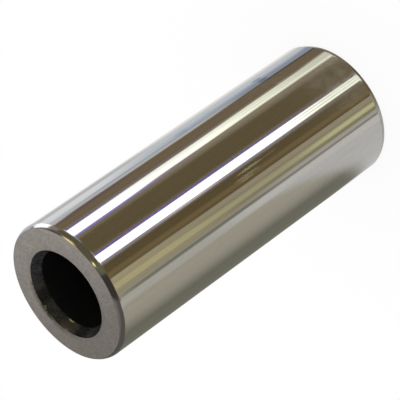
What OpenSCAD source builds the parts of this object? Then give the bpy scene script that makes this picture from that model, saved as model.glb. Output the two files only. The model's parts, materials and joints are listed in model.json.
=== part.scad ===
// Gudgeon pin: the hollow steel pin that joins a piston to the small end of its connecting rod.
// It is one piece: cut from bar or tube, bored, hardened, ground and lapped.
// The pin stands on one end face. Its axis is +Z, and the origin is the centre of the lower face.
// All sizes are in millimetres and degrees.

/* [Running surface] */
// Outside diameter of the lapped surface
pin_d = 35; // [24:0.5:60]
// Length over the two end faces
pin_length = 92; // [40:0.5:160]

/* [Lead-in] */
// Radius that leads from the running surface towards each end face
lead_r = 2.7; // [1:0.1:4]
// Angle through which that radius turns
lead_turn = 38; // [20:1:50]
// Small radius that turns the rest of the way, on to the end face
face_edge_r = 0.2; // [0.05:0.05:0.5]

/* [Bore] */
// Wall between the running surface and the through bore
wall = 7.5; // [4:0.25:10]
// Radial width of the countersink at each mouth of the bore
mouth_width = 1.3; // [0.6:0.1:2]
// Half angle of that countersink, measured from the axis
mouth_half_angle = 30; // [20:1:60]
// Radius between the countersink and the end face
mouth_edge_r = 0.1; // [0.05:0.05:0.4]
// Radius between the countersink and the bore
bore_edge_r = 0.4; // [0.1:0.1:0.6]

/* [Hidden] */
$fn = 96;

steel_colour = [0.72, 0.70, 0.66];

// Steps in which each rounded edge is drawn
arc_steps = 8;

pin_r = pin_d / 2;
bore_r = pin_r - wall;
mouth_r = bore_r + mouth_width;
mouth_depth = mouth_width / tan(mouth_half_angle);
lead_length = lead_r * sin(lead_turn) + face_edge_r * (1 - sin(lead_turn));
lead_drop = lead_r * (1 - cos(lead_turn)) + face_edge_r * cos(lead_turn);
face_r = pin_r - lead_drop;

// Directions in which the surfaces of the half section face, anticlockwise from the bore
bore_side = 180;
mouth_side = bore_side + mouth_half_angle;
face_side = 270;
wall_side = 360;
lead_side = wall_side - lead_turn;

// Centres of the rounded edges at the lower end, as [radius, height]
bore_edge_centre = [bore_r + bore_edge_r, mouth_depth + bore_edge_r * tan(mouth_half_angle / 2)];
mouth_edge_centre = [mouth_r + mouth_edge_r * tan((face_side - mouth_side) / 2), mouth_edge_r];
face_edge_centre = [face_r, face_edge_r];
lead_centre = [pin_r - lead_r, lead_length];

// Points on an arc after its start, from one facing direction to the next
function arc(centre, r, from, to) =
    [
        for (step = [1 : arc_steps])
            let (angle = from + (to - from) * step / arc_steps)
            centre + r * [cos(angle), sin(angle)]
    ];

// The same with its start, for an arc that follows a straight stretch
function arc_after_straight(centre, r, from, to) =
    concat([centre + r * [cos(from), sin(from)]], arc(centre, r, from, to));

// Lower half of the section's outline, from the bore round to the running surface
lower_outline = concat(
    arc_after_straight(bore_edge_centre, bore_edge_r, bore_side, mouth_side),
    arc_after_straight(mouth_edge_centre, mouth_edge_r, mouth_side, face_side),
    arc_after_straight(face_edge_centre, face_edge_r, face_side, lead_side),
    arc(lead_centre, lead_r, lead_side, wall_side)
);

// Upper half: the lower one turned over, so that both ends are alike
upper_outline = [
    for (i = [len(lower_outline) - 1 : -1 : 0])
        [lower_outline[i].x, pin_length - lower_outline[i].y]
];

module gudgeon_pin() {
    color(steel_colour)
        rotate_extrude()
            polygon(concat(lower_outline, upper_outline));
}

gudgeon_pin();
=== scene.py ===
"""Gudgeon pin, dressed for the camera: finished steel surfaces, a studio round the pin and a white floor.

Sizes are in metres and angles in radians, unless a comment says otherwise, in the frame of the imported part.
Compass angles go round the pin's axis: 0 faces the camera, on -Y, and they grow towards +X.
"""

import functools
import json
import math
from typing import NamedTuple

import bpy
from mathutils import Matrix, Vector


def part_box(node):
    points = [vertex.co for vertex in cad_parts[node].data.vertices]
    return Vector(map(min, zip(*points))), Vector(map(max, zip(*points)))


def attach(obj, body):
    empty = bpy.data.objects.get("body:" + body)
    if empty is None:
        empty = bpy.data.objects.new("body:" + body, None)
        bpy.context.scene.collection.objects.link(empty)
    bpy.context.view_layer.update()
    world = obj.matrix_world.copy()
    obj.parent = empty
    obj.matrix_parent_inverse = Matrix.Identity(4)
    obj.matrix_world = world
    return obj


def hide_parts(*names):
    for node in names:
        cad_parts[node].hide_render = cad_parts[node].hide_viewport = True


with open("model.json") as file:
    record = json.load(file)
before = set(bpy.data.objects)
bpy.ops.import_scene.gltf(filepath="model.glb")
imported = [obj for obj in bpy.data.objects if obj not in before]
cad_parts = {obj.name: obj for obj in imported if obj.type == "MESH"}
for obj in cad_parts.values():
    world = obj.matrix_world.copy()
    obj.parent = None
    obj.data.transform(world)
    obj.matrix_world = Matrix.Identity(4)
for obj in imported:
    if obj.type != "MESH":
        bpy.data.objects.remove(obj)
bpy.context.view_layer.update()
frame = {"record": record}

NODE = "gudgeon_pin"
MM = 0.001

# Sizes that the frame gives
mounts = {mount["name"]: mount["dims"] for mount in frame["record"]["mounts"]}
node_low, node_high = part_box(NODE)
PIN_LENGTH = node_high.z - node_low.z
PIN_R = mounts["running_surface"]["r_mm"] * MM
BORE_R = mounts["through_bore"]["r_mm"] * MM

# Edge forms, as in the solid
LEAD_R = 2.7 * MM
LEAD_TURN = math.radians(38)
FACE_EDGE_R = 0.2 * MM
MOUTH_WIDTH = 1.3 * MM
MOUTH_HALF_ANGLE = math.radians(30)
MOUTH_EDGE_R = 0.1 * MM
BORE_EDGE_R = 0.4 * MM
MOUTH_R = BORE_R + MOUTH_WIDTH

# Steps of the mesh: round the pin, on each arc, and along the wall and bore, the face and the countersink
SEGMENTS = 640
ARC_STEPS = 8
WALL_STEPS = 8
FACE_STEPS = 20
MOUTH_STEPS = 6

# Distance from the end of a straight stretch to the guard ring that keeps its shading flat
GUARD = 0.05 * MM

# Nicks along the upper mouth: compass angle in degrees, length and depth in millimetres
NICKS = [
    (148, 0.5, 0.10), (154, 0.9, 0.24), (160, 0.5, 0.12), (165, 0.7, 0.20), (171, 0.4, 0.10),
    (176, 0.9, 0.28), (-177, 0.6, 0.16), (-169.5, 2.3, 0.6), (-164, 0.6, 0.2), (-158, 0.5, 0.1),
    (-150, 0.5, 0.12), (-143, 0.5, 0.10), (62, 0.4, 0.06), (-20, 0.5, 0.05), (-78, 0.4, 0.07),
]

# How far a nick reaches from the mouth's edge, in depths, and the slope at which it goes into the metal
NICK_REACH = 2.2
NICK_SLOPE = math.radians(45)

# Marks on the wall: compass angle (degrees), height (mm), half width (degrees), half length (mm), strength
SMEARS = [(20, 5, 17, 12, 1.0), (-3, 6, 8, 7, 0.8), (44, 17, 9, 3, 0.8), (52, 20, 7, 9, 0.5)]
SCRATCHES = [
    (-1.2, 43, 1.1, 6, 1.0), (-1, 36, 0.8, 3, 0.5), (-4.8, 44.6, 1.2, 5, 0.9),
    (-6.9, 45.5, 0.9, 3, 0.8),
]
STAINS = [
    (63.6, 19.8, 3.0, 1.9, 0.8), (58, 19.4, 3.4, 2.2, 0.8), (57.5, 25, 2, 8, 0.3),
    (61, 46.7, 4.5, 3, 0.3), (59.5, 43.3, 2, 3.5, 0.2), (64, 37, 2.5, 3, 0.15),
]

# Middles of the dirt beside the mouth and of the burnished spot on the bore edge, as compass angles
DIRT_ANGLE = math.radians(-170)
BURNISH_ANGLE = math.radians(-146)

# Stretches round the mouth, of grime, painted shade, painted light and chips: compass angle and half length
# in degrees, and strength
GRIME = [(158, 26, 0.9), (-145, 12, 0.5)]
# Painted shade: stretches where the countersink is darkened
MOUTH_SHADE_STRETCHES = [(165, 13, 0.6), (-120, 14, 0.6), (-90, 13, 0.4)]
# Painted light: a stretch where the countersink is paler and browner
MOUTH_LIGHT_STRETCHES = [(-143, 17, 0.8)]
CHIPS = [(178.5, 2.6, 0.55), (-144.5, 3.5, 0.22)]

# Turns from the middle of a mark over which it fades, or over which the dark metal changes its tint
DIRT_TURNS = (math.radians(15), math.radians(55))
TINT_TURNS = (math.radians(25), math.radians(75))
BURNISH_TURNS = (math.radians(1.5), math.radians(5))

# Radii between which marks on the ends fade, and heights off the pin's middle between which the painted shade
# in the nicks fades
DIRT_RADII = (MOUTH_R, MOUTH_R + 2.0 * MM)
GRIME_RADII = (MOUTH_R + 0.3 * MM, MOUTH_R + 1.0 * MM)
CHIP_RADII = (MOUTH_R - 0.34 * MM, MOUTH_R - 0.06 * MM)
BURNISH_RADII = (BORE_R + 0.08 * MM, BORE_R + 0.2 * MM)
NICK_SHADE_HEIGHTS = (PIN_LENGTH / 2 - 0.14 * MM, PIN_LENGTH / 2 - 0.01 * MM)

# Shares of the metal that a film hides on smears and scratches
SMEAR_FILM = 0.095
SCRATCH_FILM = 0.2

# Roughness that film, wear and dirt add, and the roughness of the burnished spot
FILM_ROUGHNESS = 0.8
WORN_ROUGHNESS = 0.14
DIRT_ROUGHNESS = 0.25
BURNISH_ROUGHNESS = 0.26

# Share of metal in the scale on the countersink, and how strongly the dark surfaces shine
SCALE_METALLIC = 0.04
MOUTH_SHINE = 0.05
BORE_SHINE = 0.15

# Colours of the finishes, in linear red, green and blue
WALL_ROSE = (0.60, 0.572, 0.552)
WALL_PALE = (0.64, 0.628, 0.588)
WALL_SCRATCH = (0.58, 0.58, 0.33)
WALL_STAIN = (0.20, 0.26, 0.34)
LEAD_CLEAN = (0.62, 0.60, 0.57)
LEAD_WORN = (0.52, 0.49, 0.45)
FACE_ROSE = (0.605, 0.562, 0.538)
FACE_OLIVE = (0.578, 0.573, 0.515)
FACE_GRIME = (0.19, 0.17, 0.11)
# Painted shade inside the nicks on the face
FACE_NICK_SHADE = (0.19, 0.195, 0.165)
MOUTH_FAINT_BROWN = (0.0075, 0.007, 0.005)
MOUTH_FAINT_BLUE = (0.013, 0.013, 0.014)
MOUTH_STRONG_BROWN = (0.038, 0.034, 0.024)
MOUTH_STRONG_BLUE = (0.060, 0.059, 0.063)
# Painted light for the countersink's paler brown stretch
MOUTH_PAINTED_LIGHT = (0.062, 0.047, 0.031)
# Painted shade for the countersink's darker stretches
MOUTH_PAINTED_SHADE = (0.006, 0.005, 0.0045)
MOUTH_CHIP = (0.36, 0.31, 0.21)
MOUTH_BURNISH = (0.62, 0.56, 0.40)
BORE_BLACK = (0.0055, 0.0058, 0.0055)
BORE_BROWN = (0.009, 0.0085, 0.0075)


def compass(angle):
    """Unit vector that points away from the axis at a compass angle."""
    return Vector((math.sin(angle), -math.cos(angle), 0))


# Section of the pin

def arc(centre, radius, start, end):
    """Points on an arc of the section, as (radius, height), between two facing directions."""
    turn = (end - start) / ARC_STEPS
    angles = [start + turn * step for step in range(ARC_STEPS + 1)]
    return [(centre[0] + radius * math.cos(a), centre[1] + radius * math.sin(a)) for a in angles]


def straight(start, end, steps):
    """Points inside a straight stretch, with a guard ring close to each of its ends."""
    length = math.dist(start, end)
    shares = [GUARD / length, *[step / steps for step in range(1, steps)], 1 - GUARD / length]
    return [tuple(a + (b - a) * share for a, b in zip(start, end)) for share in shares]


def lower_section():
    """Outline of the lower end from the bore round to the wall, as (point, finish of what follows it)."""
    mouth_depth = MOUTH_WIDTH / math.tan(MOUTH_HALF_ANGLE)
    lead_length = LEAD_R * math.sin(LEAD_TURN) + FACE_EDGE_R * (1 - math.sin(LEAD_TURN))
    lead_drop = LEAD_R * (1 - math.cos(LEAD_TURN)) + FACE_EDGE_R * math.cos(LEAD_TURN)
    bore_side = math.pi
    mouth_side = bore_side + MOUTH_HALF_ANGLE
    face_side = 1.5 * math.pi
    wall_side = 2 * math.pi
    lead_side = wall_side - LEAD_TURN
    bore_centre = (BORE_R + BORE_EDGE_R, mouth_depth + BORE_EDGE_R * math.tan(MOUTH_HALF_ANGLE / 2))
    mouth_centre = (MOUTH_R + MOUTH_EDGE_R * math.tan((face_side - mouth_side) / 2), MOUTH_EDGE_R)
    face_centre = (PIN_R - lead_drop, FACE_EDGE_R)
    lead_centre = (PIN_R - LEAD_R, lead_length)
    bore_edge = arc(bore_centre, BORE_EDGE_R, bore_side, mouth_side)
    mouth_edge = arc(mouth_centre, MOUTH_EDGE_R, mouth_side, face_side)
    face_edge = arc(face_centre, FACE_EDGE_R, face_side, lead_side)
    lead = arc(lead_centre, LEAD_R, lead_side, wall_side)
    mouth = straight(bore_edge[-1], mouth_edge[0], MOUTH_STEPS)
    face = straight(mouth_edge[-1], face_edge[0], FACE_STEPS)
    parts = [
        (bore_edge + mouth + mouth_edge[:-1], "mouth"),
        (mouth_edge[-1:] + face, "face"),
        (face_edge + lead[1:], "lead"),
    ]
    return [(point, finish) for points, finish in parts for point in points]


def whole_section():
    """Closed outline of the half section, up the wall and down the bore, and the finish of each band."""
    lower = lower_section()
    points = [point for point, finish in lower]
    finishes = [finish for point, finish in lower]
    turned_over = [(r, PIN_LENGTH - z) for r, z in reversed(points)]
    wall = straight(points[-1], turned_over[0], WALL_STEPS)
    bore = straight(turned_over[-1], points[0], WALL_STEPS)
    outline = points + wall + turned_over + bore
    upper_finishes = list(reversed(finishes[:-1]))
    bands = finishes[:-1] + ["wall"] * (len(wall) + 1) + upper_finishes + ["bore"] * (len(bore) + 1)
    return outline, bands


def nick_push(angle, r, z):
    """How far the nicks along the upper mouth push a point into the metal."""
    away = math.hypot(r - MOUTH_R, z - PIN_LENGTH)
    push = 0.0
    for degrees, length, depth in NICKS:
        turn = math.remainder(angle - math.radians(degrees), 2 * math.pi)
        along = turn * MOUTH_R / (length * MM / 2)
        reach = NICK_REACH * depth * MM
        if abs(along) < 1 and away < reach:
            push = max(push, depth * MM * (1 - along ** 2) * (1 - away / reach))
    return push


def revolved(name, outline, bands, finishes):
    """Piece made by turning the outline about Z, with the finish of each band and the nicks in its mouth."""
    seam = -math.pi
    angles = [seam + 2 * math.pi * step / SEGMENTS for step in range(SEGMENTS)]
    points = []
    for r, z in outline:
        for angle in angles:
            push = nick_push(angle, r, z)
            out = push * math.cos(NICK_SLOPE)
            down = push * math.sin(NICK_SLOPE)
            points.append(compass(angle) * (r + out) + Vector((0, 0, z - down)))
    faces = []
    slots = []
    names = list(finishes)
    for ring, finish in enumerate(bands):
        next_ring = (ring + 1) % len(outline)
        for step in range(SEGMENTS):
            next_step = (step + 1) % SEGMENTS
            corners = [(ring, step), (ring, next_step), (next_ring, next_step), (next_ring, step)]
            faces.append([r * SEGMENTS + s for r, s in corners])
            slots.append(names.index(finish))
    mesh = bpy.data.meshes.new(name)
    mesh.from_pydata(points, [], faces)
    for material in finishes.values():
        mesh.materials.append(material)
    mesh.polygons.foreach_set("material_index", slots)
    mesh.shade_smooth()
    mesh.validate()
    piece = bpy.data.objects.new(name, mesh)
    bpy.context.scene.collection.objects.link(piece)
    return piece


class Graph:
    """Short ways to add linked nodes to one node tree. A value is a node's output, a number or a colour."""

    def __init__(self, tree):
        self.tree = tree

    def add(self, kind, **settings):
        """New node of a kind, with its settings."""
        node = self.tree.nodes.new(kind)
        for name, value in settings.items():
            setattr(node, name, value)
        return node

    def feed(self, socket, value):
        """Link a socket to the output given, or set it to the number or colour given."""
        if isinstance(value, bpy.types.NodeSocket):
            self.tree.links.new(value, socket)
        else:
            socket.default_value = value

    def maths(self, operation, *values):
        """Result of an operation on numbers."""
        node = self.add("ShaderNodeMath", operation=operation)
        for socket, value in zip(node.inputs, values):
            self.feed(socket, value)
        return node.outputs[0]

    def plus(self, first, second):
        return self.maths("ADD", first, second)

    def minus(self, first, second):
        return self.maths("SUBTRACT", first, second)

    def times(self, first, second):
        return self.maths("MULTIPLY", first, second)

    def ramp(self, value, start, end, to_start=0.0, to_end=1.0, smooth=False):
        """Value moved from one range to another and held at its ends."""
        kind = "SMOOTHSTEP" if smooth else "LINEAR"
        node = self.add("ShaderNodeMapRange", interpolation_type=kind)
        numbers = {"Value": value, "From Min": start, "From Max": end, "To Min": to_start, "To Max": to_end}
        for name, number in numbers.items():
            self.feed(node.inputs[name], number)
        return node.outputs["Result"]

    def blend(self, share, first, second):
        """Number between two numbers."""
        return self.ramp(share, 0.0, 1.0, first, second)

    def mix(self, share, first, second):
        """Colour between two colours."""
        node = self.add("ShaderNodeMixRGB")
        for socket, value in zip(node.inputs, (share, first, second)):
            self.feed(socket, (*value, 1) if isinstance(value, tuple) else value)
        return node.outputs[0]

    def noise(self, place, scales, detail=2.0, roughness=0.5):
        """Noise from 0 to 1 with its own number of waves per unit along each axis."""
        stretched = self.add("ShaderNodeVectorMath", operation="MULTIPLY")
        self.feed(stretched.inputs[0], place)
        self.feed(stretched.inputs[1], scales)
        node = self.add("ShaderNodeTexNoise")
        self.feed(node.inputs["Vector"], stretched.outputs[0])
        self.feed(node.inputs["Scale"], 1.0)
        self.feed(node.inputs["Detail"], detail)
        self.feed(node.inputs["Roughness"], roughness)
        return node.outputs["Fac"]

    def bump(self, height, depth, under=None):
        """Normal of a surface whose height runs over the depth given, in metres."""
        node = self.add("ShaderNodeBump")
        self.feed(node.inputs["Height"], height)
        self.feed(node.inputs["Distance"], depth)
        if under:
            self.feed(node.inputs["Normal"], under)
        return node.outputs["Normal"]


# Finishes of the pin

class Finish(Graph):
    """One material of the pin, with the places on it that its patterns follow."""

    # Shares of a mark's length, and of an oval's area, over which it keeps its full strength
    STRETCH_CORE = 1 / 3
    PATCH_CORE = 0.1

    def __init__(self, name, shine=0.5):
        self.material = bpy.data.materials.new(name)
        self.material.use_nodes = True
        super().__init__(self.material.node_tree)
        self.shader = self.tree.nodes["Principled BSDF"]
        self.feed(self.shader.inputs["Specular IOR Level"], shine)
        self.place = self.add("ShaderNodeTexCoord").outputs["Object"]
        split = self.add("ShaderNodeSeparateXYZ")
        self.feed(split.inputs[0], self.place)
        x, y, self.height = split.outputs
        self.angle = self.maths("ARCTAN2", x, self.times(y, -1.0))
        self.radius = self.maths("SQRT", self.plus(self.times(x, x), self.times(y, y)))

    def pattern(self, scales, detail=2.0, roughness=0.5):
        """Noise fixed to the pin, with its number of waves per metre along X, Y and Z."""
        return self.noise(self.place, scales, detail, roughness)

    def turn_from(self, angle):
        """Size of the turn from a compass angle."""
        turn = self.maths("WRAP", self.minus(self.angle, angle), math.pi, -math.pi)
        return self.maths("ABSOLUTE", turn)

    def patch(self, degrees, height, half_turn, half_length, strength):
        """The strength at a place on the wall, falling to 0 at the edge of an oval round it."""
        aside = self.maths("DIVIDE", self.turn_from(math.radians(degrees)), math.radians(half_turn))
        along = self.maths("DIVIDE", self.minus(self.height, height * MM), half_length * MM)
        area = self.plus(self.times(aside, aside), self.times(along, along))
        return self.ramp(area, self.PATCH_CORE, 1.0, strength, 0.0, smooth=True)

    def stretch(self, degrees, half_turn, strength):
        """The strength along a stretch round the axis, falling to 0 at its ends."""
        turn = self.turn_from(math.radians(degrees))
        end = math.radians(half_turn)
        return self.ramp(turn, end * self.STRETCH_CORE, end, strength, 0.0, smooth=True)

    def strongest(self, shape, marks):
        """The strongest of several marks of one shape, which is patch or stretch."""
        shares = [shape(*mark) for mark in marks]
        return functools.reduce(lambda one, other: self.maths("MAXIMUM", one, other), shares)

    def made(self, colour, roughness, normal, metallic=1.0):
        """The material, with its colour, roughness, normal and share of metal joined to the shader."""
        values = {"Base Color": colour, "Roughness": roughness, "Normal": normal, "Metallic": metallic}
        for name, value in values.items():
            self.feed(self.shader.inputs[name], value)
        return self.material


def lapped_wall():
    """Mirror finish of the running surface: lap lines, faint waves, smears, scratches and stains."""
    finish = Finish("lapped_wall")
    lap_lines = finish.pattern((90.0, 90.0, 5000.0), 3.0, 0.6)
    waves = finish.pattern((160.0, 160.0, 45.0), 1.0)
    grain = finish.pattern((1500.0, 1500.0, 900.0), 3.0, 0.75)
    clouds = finish.pattern((420.0, 420.0, 260.0), 5.0, 0.7)
    hairlines = finish.pattern((1400.0, 1400.0, 60.0))
    cloudy = finish.ramp(clouds, 0.40, 0.66)
    streaky = finish.ramp(hairlines, 0.35, 0.6, 0.5, 1.0)
    blotchy = finish.ramp(clouds, 0.35, 0.6, 0.55, 1.0)
    smeared = finish.times(finish.strongest(finish.patch, SMEARS), cloudy)
    scratched = finish.times(finish.strongest(finish.patch, SCRATCHES), streaky)
    stained = finish.times(finish.strongest(finish.patch, STAINS), blotchy)
    film = finish.plus(finish.times(smeared, SMEAR_FILM), finish.times(scratched, SCRATCH_FILM))
    polish = finish.ramp(lap_lines, 0.2, 0.8, 0.035, 0.075)
    roughness = finish.plus(polish, finish.times(film, FILM_ROUGHNESS))
    clean = finish.mix(finish.ramp(grain, 0.25, 0.75), WALL_ROSE, WALL_PALE)
    soiled = finish.mix(scratched, clean, WALL_SCRATCH)
    colour = finish.mix(stained, soiled, WALL_STAIN)
    normal = finish.bump(lap_lines, depth=0.00012 * MM, under=finish.bump(waves, depth=0.004 * MM))
    return finish.made(colour, roughness, normal, metallic=finish.minus(1.0, film))


def polished_lead_in():
    """Lead-in radius: polished, with faint turning lines and small worn spots."""
    finish = Finish("polished_lead_in")
    lines = finish.pattern((110.0, 110.0, 4200.0), 3.0, 0.6)
    spots = finish.pattern((700.0, 700.0, 900.0), 3.0, 0.6)
    worn = finish.ramp(spots, 0.55, 0.72)
    polish = finish.ramp(lines, 0.2, 0.8, 0.08, 0.14)
    roughness = finish.plus(polish, finish.times(worn, WORN_ROUGHNESS))
    colour = finish.mix(worn, LEAD_CLEAN, LEAD_WORN)
    normal = finish.bump(lines, depth=0.0003 * MM, under=finish.bump(spots, depth=0.006 * MM))
    return finish.made(colour, roughness, normal)


def ground_face():
    """End face: satin from the grinding wheel and mottled, with dirt and grime beside the mouth and painted
    shade in the nicks.
    """
    finish = Finish("ground_face")
    blotches = finish.pattern((330.0, 330.0, 330.0), 3.0, 0.6)
    grain = finish.pattern((1700.0, 1700.0, 1700.0), 2.0, 0.7)
    tint = finish.pattern((620.0, 620.0, 620.0))
    flakes = finish.pattern((1300.0, 1300.0, 1300.0), 1.0)
    wheel = finish.pattern((140.0, 2600.0, 100.0), 2.0, 0.6)
    grey = finish.mix(finish.ramp(tint, 0.38, 0.62), FACE_ROSE, FACE_OLIVE)
    mottled = finish.add("ShaderNodeHueSaturation")
    patches = finish.ramp(blotches, 0.3, 0.7, 0.94, 1.06)
    specks = finish.ramp(grain, 0.3, 0.7, 0.84, 1.16)
    finish.feed(mottled.inputs["Color"], grey)
    finish.feed(mottled.inputs["Value"], finish.times(patches, specks))
    near_mouth = finish.ramp(finish.radius, *DIRT_RADII, 1.0, 0.0, smooth=True)
    dirty_side = finish.ramp(finish.turn_from(DIRT_ANGLE), *DIRT_TURNS, 1.0, 0.15, smooth=True)
    uneven = finish.ramp(blotches, 0.3, 0.65, 0.25, 1.0)
    dirt = finish.times(finish.times(near_mouth, dirty_side), uneven)
    beside_mouth = finish.ramp(finish.radius, *GRIME_RADII, 1.0, 0.0)
    flecks = finish.times(finish.ramp(flakes, 0.47, 0.58), finish.strongest(finish.stretch, GRIME))
    grime = finish.maths("MAXIMUM", dirt, finish.times(beside_mouth, flecks))
    soiled = finish.mix(grime, mottled.outputs[0], FACE_GRIME)
    off_middle = finish.maths("ABSOLUTE", finish.minus(finish.height, PIN_LENGTH / 2))
    # Painted shade: the face darkened wherever a nick dents it below its plane
    nick_shade = finish.ramp(off_middle, *NICK_SHADE_HEIGHTS, 1.0, 0.0)
    colour = finish.mix(nick_shade, soiled, FACE_NICK_SHADE)
    satin = finish.ramp(wheel, 0.2, 0.8, 0.36, 0.46)
    roughness = finish.plus(satin, finish.times(dirt, DIRT_ROUGHNESS))
    normal = finish.bump(wheel, depth=0.002 * MM, under=finish.bump(grain, depth=0.006 * MM))
    return finish.made(colour, roughness, normal)


def turned_mouth():
    """Countersink: turned before hardening, so it is dark, mottled and ringed by the tool. It is chipped in
    places, with painted shade along darker stretches and painted light along a paler brown one, and its edge
    on the bore is burnished for a short way.
    """
    finish = Finish("turned_mouth", MOUTH_SHINE)
    rings = finish.pattern((60.0, 60.0, 5200.0), 2.0, 0.6)
    mottle = finish.pattern((900.0, 900.0, 900.0), 3.0, 0.65)
    scale = finish.pattern((170.0, 170.0, 170.0))
    specks = finish.pattern((2300.0, 2300.0, 2300.0), 1.0)
    speckle = finish.blend(0.45, finish.blend(0.5, mottle, scale), specks)
    blued = finish.ramp(finish.turn_from(DIRT_ANGLE), *TINT_TURNS)
    faint = finish.mix(blued, MOUTH_FAINT_BROWN, MOUTH_FAINT_BLUE)
    strong = finish.mix(blued, MOUTH_STRONG_BROWN, MOUTH_STRONG_BLUE)
    scaly = finish.mix(finish.ramp(speckle, 0.36, 0.64), faint, strong)
    # Painted light: the countersink made paler and browner along one stretch
    painted_light = finish.times(finish.strongest(finish.stretch, MOUTH_LIGHT_STRETCHES), finish.ramp(scale, 0.25, 0.7))
    mouth_with_light = finish.mix(painted_light, scaly, MOUTH_PAINTED_LIGHT)
    # Painted shade: the countersink darkened along its darker stretches
    mouth_with_shade = finish.mix(finish.strongest(finish.stretch, MOUTH_SHADE_STRETCHES), mouth_with_light, MOUTH_PAINTED_SHADE)
    near_face = finish.ramp(finish.radius, *CHIP_RADII)
    chips = finish.times(near_face, finish.strongest(finish.stretch, CHIPS))
    chipped = finish.mix(finish.times(chips, finish.ramp(specks, 0.38, 0.6)), mouth_with_shade, MOUTH_CHIP)
    on_edge = finish.ramp(finish.radius, *BURNISH_RADII, 1.0, 0.0)
    rubbed = finish.ramp(finish.turn_from(BURNISH_ANGLE), *BURNISH_TURNS, 1.0, 0.0)
    burnish = finish.times(on_edge, rubbed)
    colour = finish.mix(burnish, chipped, MOUTH_BURNISH)
    roughness = finish.blend(burnish, finish.ramp(mottle, 0.3, 0.7, 0.55, 0.4), BURNISH_ROUGHNESS)
    normal = finish.bump(rings, depth=0.004 * MM, under=finish.bump(mottle, depth=0.012 * MM))
    return finish.made(colour, roughness, normal, metallic=finish.blend(burnish, SCALE_METALLIC, 1.0))


def dark_bore():
    """Bore: left as drilled, black from hardening, with tool rings and a little brown."""
    finish = Finish("dark_bore", BORE_SHINE)
    rings = finish.pattern((40.0, 40.0, 2600.0), 3.0, 0.6)
    scale = finish.pattern((420.0, 420.0, 160.0), 3.0, 0.6)
    colour = finish.mix(finish.ramp(scale, 0.35, 0.75), BORE_BLACK, BORE_BROWN)
    roughness = finish.ramp(rings, 0.2, 0.8, 0.5, 0.7)
    normal = finish.bump(rings, depth=0.02 * MM)
    return finish.made(colour, roughness, normal, metallic=0.0)


# Studio

class Panel(NamedTuple):
    """A lit or dark area of the studio. Each span is where it starts, where it ends and how wide its soft
    edge is, in degrees of compass angle and of elevation. The colour is its brightness in red, green and
    blue. A hollow is an opening left in it.
    """
    name: str
    round: tuple
    up: tuple
    colour: tuple
    hollow: tuple = ()


# Colour of the studio where it has no panel
STUDIO_BASE = (0.258, 0.243, 0.232)

# Rounded opening in the pale ground, through which the wall behind it shows, as spans in degrees
WALL_OPENING = ((-260, -40), (-37.6, -16.4))

# Shares of an opening's size between which its soft edge lies, and the power that rounds its corners
OPENING_EDGE = (0.965, 1.03)
OPENING_POWER = 3.0

# Unevenness of the studio's brightness, and its waves per degree round the pin and up
UNEVENNESS = 0.14
UNEVEN_SCALES = (0.45, 0.05, 1.0)

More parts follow.
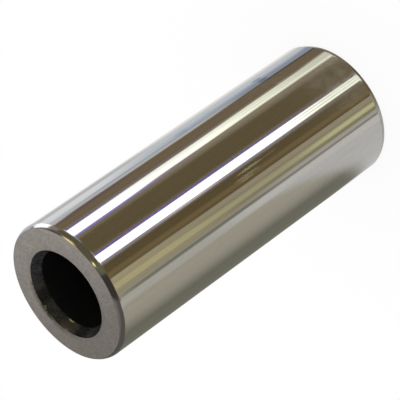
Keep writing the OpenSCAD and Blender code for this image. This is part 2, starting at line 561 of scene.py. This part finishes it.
# Later panels cover earlier ones
PANELS = [
    # Rooms above the horizon, which the near lead-in mirrors
    Panel("left_room", (-170, -46, 6), (-30, 62, 4), (0.125, 0.12, 0.112)),
    Panel("left_room_top", (-135, -50, 8), (20, 72, 16), (0.22, 0.21, 0.195)),
    Panel("middle_room", (-48, -6, 6), (-30, 62, 5), (0.055, 0.05, 0.043)),
    Panel("right_room", (-7, 106, 6), (-30, 62, 4), (0.135, 0.12, 0.078)),
    Panel("green_room", (-6, 10, 5), (-26, 36, 6), (0.175, 0.178, 0.108)),
    Panel("right_glow", (86, 104, 6), (-26, 8, 10), (0.31, 0.27, 0.245)),
    Panel("right_top", (104, 142, 10), (16, 72, 14), (0.26, 0.245, 0.245)),
    # Pale ground on the left, and the wall and cards behind it
    Panel("olive_wall", (-170, -103, 22), (-45, -19.5, 5), (0.203, 0.202, 0.162)),
    Panel("tan_card", (-101, -20, 44), (-45, -15.2, 5), (0.485, 0.465, 0.385)),
    Panel("grey_card", (-66, -53, 6), (-45, -11.3, 5), (0.57, 0.57, 0.52)),
    Panel("pale_ground", (-178, -50, 4), (-80, -30, 4), (0.665, 0.67, 0.675), WALL_OPENING),
    Panel("pale_foot", (-178, -50, 8), (-80, -46, 6), (0.53, 0.515, 0.50)),
    Panel("pale_edge", (-64, -53, 4), (-47, -34.5, 2), (0.73, 0.725, 0.71)),
    Panel("low_edge", (-205, -174.5, 6), (-80, -25, 6), (1.03, 1.03, 1.03)),
    Panel("low_edge_end", (-205, -160, 6), (-40.5, -37.3, 1.5), (1.04, 1.04, 1.03)),
    Panel("low_edge_foot", (-205, -128, 18), (-80, -42.5, 3), (0.54, 0.54, 0.53)),
    # Yellow strip and the lines on it
    Panel("card_line", (-53.3, -47.6, 2.2), (-36.5, -14, 3), (0.235, 0.245, 0.21)),
    Panel("card_line_end", (-56, -47, 4), (-31.1, -27, 0.8), (0.47, 0.45, 0.37)),
    Panel("yellow_strip", (-47, -18.5, 3), (-60, -16.5, 4), (0.42, 0.38, 0.262)),
    Panel("yellow_near", (-27, -18, 3), (-32.4, -18.5, 2), (0.50, 0.45, 0.285)),
    Panel("grey_line", (-49.6, -43.8, 2), (-60, -35.6, 2), (0.52, 0.505, 0.45)),
    Panel("thin_line", (-53, -49.6, 2), (-60, -35.6, 1), (0.30, 0.29, 0.275)),
    Panel("green_line", (-37.5, -30.5, 3), (-60, -16.5, 4), (0.48, 0.465, 0.28)),
    Panel("yellow_line", (-37, -28, 5), (-34, -17, 2), (0.60, 0.545, 0.31)),
    Panel("green_end", (-37.6, -31.4, 4), (-43, -37, 1.5), (0.70, 0.70, 0.39)),
    Panel("olive_line", (-43.2, -39.4, 2.5), (-60, -34.3, 2), (0.30, 0.28, 0.19)),
    Panel("rose_line", (-31, -26.5, 3), (-60, -33.5, 2), (0.37, 0.335, 0.235)),
    Panel("line_foot", (-60, -14, 8), (-76, -57, 8), (0.38, 0.31, 0.21)),
    # Brown wall
    Panel("brown_wall", (-19.2, 111, 3), (-72, -18, 4), (0.16, 0.125, 0.067)),
    Panel("brown_shadow", (-9, 4, 5), (-45, -18, 3), (0.146, 0.110, 0.055)),
    Panel("brown_end", (-19.2, 111, 3), (-72, -38, 2.5), (0.21, 0.172, 0.104)),
    Panel("ochre_line", (-16, -10.5, 5), (-72, -17, 3), (0.235, 0.175, 0.082)),
    Panel("dark_line", (-20.2, -17, 1.6), (-72, -33.3, 1.5), (0.165, 0.115, 0.065)),
    # First lamp tube, with its glow and its coloured edges
    Panel("tube_one_flare", (21, 30, 5), (-30.2, -20, 1.4), (0.40, 0.38, 0.29)),
    Panel("tube_one_tip", (8, 22, 4), (-20, -13, 5), (0.225, 0.215, 0.225)),
    Panel("tube_one_haze", (3.5, 26.5, 4.5), (-54, -17, 3), (0.255, 0.222, 0.168)),
    Panel("tube_one_bloom", (5, 15, 3), (-36.6, -24, 5), (0.34, 0.31, 0.41)),
    Panel("tube_one_sliver", (5.8, 7.6, 1.2), (-34.6, -33, 0.8), (0.80, 0.77, 0.72)),
    Panel("tube_one_fringe", (15, 23.9, 2.2), (-36.6, -24, 5), (0.19, 0.15, 0.55)),
    Panel("tube_one_foot", (9, 26, 5), (-66, -44, 10), (0.75, 0.72, 0.6)),
    Panel("tube_one_end", (9.2, 20.3, 1.6), (-54, -30, 4), (1.45, 1.53, 1.3)),
    Panel("tube_one", (8.8, 20.7, 1.8), (-37.2, -18.5, 1.6), (2.5, 2.5, 2.5)),
    Panel("tube_one_slat_a", (12.5, 13.7, 0.7), (-48, -36.6, 1), (0.72, 0.72, 0.58)),
    Panel("tube_one_slat_b", (16.6, 17.8, 0.7), (-48, -36.6, 1), (0.72, 0.72, 0.58)),
    # Second lamp tube
    Panel("tube_two_glow", (58, 91, 8), (-72, -18, 3), (0.275, 0.236, 0.16)),
    Panel("tube_two_flare", (50, 64, 6), (-30.2, -20, 1.4), (0.40, 0.39, 0.33)),
    Panel("tube_two_tip", (60, 82, 5), (-25, -14, 6), (0.235, 0.22, 0.23)),
    Panel("tube_two_halo", (62.6, 70, 4), (-49, -33.5, 2), (0.33, 0.285, 0.205)),
    Panel("tube_two_fringe_low", (63.2, 72, 2.4), (-32.9, -25, 4), (0.33, 0.275, 0.80)),
    Panel("tube_two_fringe_top", (78, 86.4, 2.4), (-35.5, -25, 4), (0.22, 0.18, 0.38)),
    Panel("tube_two_haze", (82, 94, 8), (-49, -38.1, 1), (0.36, 0.335, 0.27)),
    Panel("tube_two_end", (71, 85.4, 3.6), (-49, -35.5, 2), (0.88, 0.89, 0.74)),
    Panel("tube_two_foot", (71, 87.4, 5), (-49, -38, 0.8), (0.88, 0.89, 0.74)),
    Panel("tube_two_strip", (72.6, 75.6, 1.5), (-49, -35.5, 2), (1.2, 1.26, 1.05)),
    Panel("tube_two_middle", (70.6, 83.6, 2.8), (-37.4, -32.3, 2.5), (1.4, 1.47, 1.24)),
    Panel("tube_two_low", (69.5, 77.5, 3), (-35.6, -30, 2), (1.9, 1.95, 1.75)),
    Panel("tube_two", (68.4, 81.6, 3), (-32.6, -25, 2), (2.5, 2.5, 2.5)),
    Panel("tube_two_near", (67.2, 78, 2.2), (-32.8, -25, 2), (2.5, 2.5, 2.5)),
    Panel("tube_two_start", (66.3, 78, 2), (-31.15, -25, 0.8), (2.5, 2.5, 2.5)),
    Panel("tube_two_slat_a", (75.5, 76.5, 0.7), (-48, -35.8, 1.5), (0.80, 0.80, 0.66)),
    Panel("tube_two_slat_b", (79.9, 81.2, 0.7), (-48, -35.8, 1.5), (0.74, 0.74, 0.60)),
    # Pale screens on the right
    Panel("pale_screen", (110, 140, 2.5), (-46, -10, 5), (0.66, 0.745, 0.84)),
    Panel("screen_edge", (100, 125.5, 14), (-46, -35, 4), (0.36, 0.40, 0.485)),
    Panel("screen_edge_foot", (100, 128, 14), (-46, -38, 0.8), (0.36, 0.40, 0.485)),
    Panel("brown_strip", (90.5, 111.4, 3), (-72, -18, 3), (0.22, 0.17, 0.108)),
    Panel("dark_edge", (109, 112.8, 1.6), (-46, -35.6, 2), (0.105, 0.09, 0.085)),
    Panel("bright_screen", (140, 182, 16), (-72, -10, 3), (0.88, 0.885, 0.89)),
    Panel("screen_line", (141, 156, 6), (-33.5, -24, 2), (0.62, 0.63, 0.645)),
    Panel("screen_rim", (160, 188, 10), (-72, -27, 4), (1.0, 1.0, 1.0)),
    Panel("screen_foot", (132, 188, 14), (-50, -39.5, 3), (1.15, 1.15, 1.12)),
    Panel("near_screen", (120, 138, 8), (-32.9, -10, 2), (0.945, 0.98, 1.03)),
    Panel("violet_line", (104.5, 110, 3), (-32.8, -22, 2), (0.18, 0.125, 0.15)),
    Panel("cream_line", (110.4, 115.5, 3), (-36, -22, 2.5), (0.66, 0.67, 0.65)),
    Panel("near_cream_line", (107.4, 112, 2), (-31, -22, 0.8), (0.70, 0.69, 0.69)),
    Panel("blue_line", (116.3, 120.5, 2), (-36.5, -31.6, 2), (0.49, 0.53, 0.62)),
    Panel("upper_screen", (136, 182, 12), (-27, 8, 8), (0.71, 0.695, 0.78)),
    # Lamps above the horizon
    Panel("window", (104, 128.5, 6), (-22, 4, 11), (2.1, 2.1, 2.1)),
    Panel("gold_lamp", (56, 79, 7), (22, 62, 16), (0.87, 0.72, 0.37)),
    Panel("gold_core", (61, 75, 5), (27, 58, 10), (1.5, 1.25, 0.62)),
    Panel("small_gold_lamp", (9.5, 16, 3), (25, 41, 4), (1.55, 1.45, 0.75)),
    # Ground close to the pin's foot
    Panel("brown_shade", (-62, 140, 10), (-84, -70, 5), (0.08, 0.065, 0.045)),
    Panel("pale_shade", (-178, -54, 8), (-84, -70, 5), (0.27, 0.26, 0.25)),
    Panel("ground_shade", (-180, 180, 0), (-100, -81, 5), (0.10, 0.085, 0.07)),
]


def studio():
    """World of the scene: white for the camera and for soft light, the studio's panels for mirror rays."""
    world = bpy.data.worlds.new("studio")
    bpy.context.scene.world = world
    world.use_nodes = True
    world.cycles.sampling_method = "NONE"
    graph = Graph(world.node_tree)
    graph.tree.nodes.clear()
    split = graph.add("ShaderNodeSeparateXYZ")
    graph.feed(split.inputs[0], graph.add("ShaderNodeTexCoord").outputs["Generated"])
    x, y, z = split.outputs
    angle = graph.maths("DEGREES", graph.maths("ARCTAN2", x, graph.times(y, -1.0)))
    elevation = graph.maths("DEGREES", graph.maths("ARCSINE", z))

    def off_middle(value, start, end):
        """Distance from the middle of a span, in degrees."""
        away = graph.minus(value, (start + end) / 2)
        return graph.maths("ABSOLUTE", graph.maths("WRAP", away, 180.0, -180.0))

    def within(value, start, end, edge):
        """1 inside a span, falling to 0 over its soft edges."""
        away = off_middle(value, start, end)
        half = (end - start) / 2
        return graph.ramp(away, half - edge / 2, half + edge / 2, 1.0, 0.0, smooth=True)

    def outside(opening):
        """0 inside the rounded opening that two spans bound, rising to 1 over its soft edge."""
        powers = []
        for value, (start, end) in zip((angle, elevation), opening):
            share = graph.maths("DIVIDE", off_middle(value, start, end), (end - start) / 2)
            powers.append(graph.maths("POWER", share, OPENING_POWER))
        reach = graph.maths("POWER", graph.plus(*powers), 1 / OPENING_POWER)
        return graph.ramp(reach, *OPENING_EDGE, smooth=True)

    seen = STUDIO_BASE
    for panel in PANELS:
        share = graph.times(within(angle, *panel.round), within(elevation, *panel.up))
        if panel.hollow:
            share = graph.times(share, outside(panel.hollow))
        seen = graph.mix(share, seen, panel.colour)

    across = graph.add("ShaderNodeCombineXYZ")
    graph.feed(across.inputs["X"], angle)
    graph.feed(across.inputs["Y"], elevation)
    uneven = graph.noise(across.outputs[0], UNEVEN_SCALES, 3.0, 0.6)
    strength = graph.ramp(uneven, 0.2, 0.8, 1 - UNEVENNESS, 1 + UNEVENNESS)
    mirrored = graph.add("ShaderNodeBackground")
    graph.feed(mirrored.inputs["Color"], seen)
    graph.feed(mirrored.inputs["Strength"], strength)
    white = graph.add("ShaderNodeBackground")
    graph.feed(white.inputs["Color"], (1, 1, 1, 1))
    choice = graph.add("ShaderNodeMixShader")
    graph.feed(choice.inputs[0], graph.add("ShaderNodeLightPath").outputs["Is Glossy Ray"])
    graph.feed(choice.inputs[1], white.outputs[0])
    graph.feed(choice.inputs[2], mirrored.outputs[0])
    output = graph.add("ShaderNodeOutputWorld")
    graph.feed(output.inputs["Surface"], choice.outputs[0])


# Lamp

SIDE_LAMP_ANGLE = math.radians(160)
SIDE_LAMP_ELEVATION = math.radians(45)
SIDE_LAMP_DISTANCE = 0.11
SIDE_LAMP_SIZE = 0.066
SIDE_LAMP_WATTS = 0.0055


def side_lamp():
    """Small soft lamp close behind the upper end, so that its face is lighter on one side."""
    data = bpy.data.lights.new("side_lamp", "AREA")
    data.size = SIDE_LAMP_SIZE
    data.energy = SIDE_LAMP_WATTS
    lamp = bpy.data.objects.new("side_lamp", data)
    level = compass(SIDE_LAMP_ANGLE) * math.cos(SIDE_LAMP_ELEVATION)
    away = level + Vector((0, 0, math.sin(SIDE_LAMP_ELEVATION)))
    lamp.location = Vector((0, 0, PIN_LENGTH)) + away * SIDE_LAMP_DISTANCE
    lamp.rotation_euler = away.to_track_quat("Z", "Y").to_euler()
    lamp.visible_camera = False
    bpy.context.scene.collection.objects.link(lamp)


# Floor

FLOOR_HALF = 3.0
FLOOR_GLOW = 0.9


def floor():
    """White floor under the pin. It keeps the pin's shadow, and mirror rays pass it and see the studio."""
    mesh = bpy.data.meshes.new("floor")
    corners = [(-1, -1), (1, -1), (1, 1), (-1, 1)]
    mesh.from_pydata([(x * FLOOR_HALF, y * FLOOR_HALF, 0) for x, y in corners], [], [[0, 1, 2, 3]])
    ground = bpy.data.objects.new("floor", mesh)
    bpy.context.scene.collection.objects.link(ground)
    ground.visible_glossy = False
    material = bpy.data.materials.new("white_floor")
    material.use_nodes = True
    graph = Graph(material.node_tree)
    graph.tree.nodes.clear()
    matt = graph.add("ShaderNodeBsdfDiffuse")
    graph.feed(matt.inputs["Color"], (1, 1, 1, 1))
    glow = graph.add("ShaderNodeEmission")
    seen = graph.add("ShaderNodeLightPath").outputs["Is Camera Ray"]
    both = graph.add("ShaderNodeMixShader")
    graph.feed(both.inputs[0], graph.times(seen, FLOOR_GLOW))
    graph.feed(both.inputs[1], matt.outputs[0])
    graph.feed(both.inputs[2], glow.outputs[0])
    output = graph.add("ShaderNodeOutputMaterial")
    graph.feed(output.inputs["Surface"], both.outputs[0])
    mesh.materials.append(material)


# Camera

FOCAL_LENGTH_MM = 211.5
SENSOR_MM = 36
CLIP_START = 0.01
CLIP_END = 20
CAMERA_DISTANCE = 0.5516
CAMERA_ELEVATION = math.radians(34.01)
CAMERA_ROLL = math.radians(-125.13)
AIM_HEIGHT = 0.0476


def camera():
    """Camera at the photograph's place, rolled so that the standing pin lies across the frame."""
    data = bpy.data.cameras.new("camera")
    data.lens = FOCAL_LENGTH_MM
    data.sensor_width = SENSOR_MM
    data.clip_start = CLIP_START
    data.clip_end = CLIP_END
    back = Vector((0, -math.cos(CAMERA_ELEVATION), math.sin(CAMERA_ELEVATION)))
    level_right = Vector((1, 0, 0))
    level_up = back.cross(level_right)
    right = level_right * math.cos(CAMERA_ROLL) + level_up * math.sin(CAMERA_ROLL)
    up = level_up * math.cos(CAMERA_ROLL) - level_right * math.sin(CAMERA_ROLL)
    viewer = bpy.data.objects.new("camera", data)
    place = Vector((0, 0, AIM_HEIGHT)) + back * CAMERA_DISTANCE
    viewer.matrix_world = Matrix.Translation(place) @ Matrix((right, up, back)).transposed().to_4x4()
    bpy.context.scene.collection.objects.link(viewer)
    bpy.context.scene.camera = viewer


# Scene

camera()
studio()
side_lamp()
floor()

finishes = {
    "wall": lapped_wall(),
    "lead": polished_lead_in(),
    "face": ground_face(),
    "mouth": turned_mouth(),
    "bore": dark_bore(),
}
section, section_bands = whole_section()
pin = revolved("pin", section, section_bands, finishes)
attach(pin, "root")
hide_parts(NODE)

bpy.context.scene.view_settings.view_transform = "Standard"
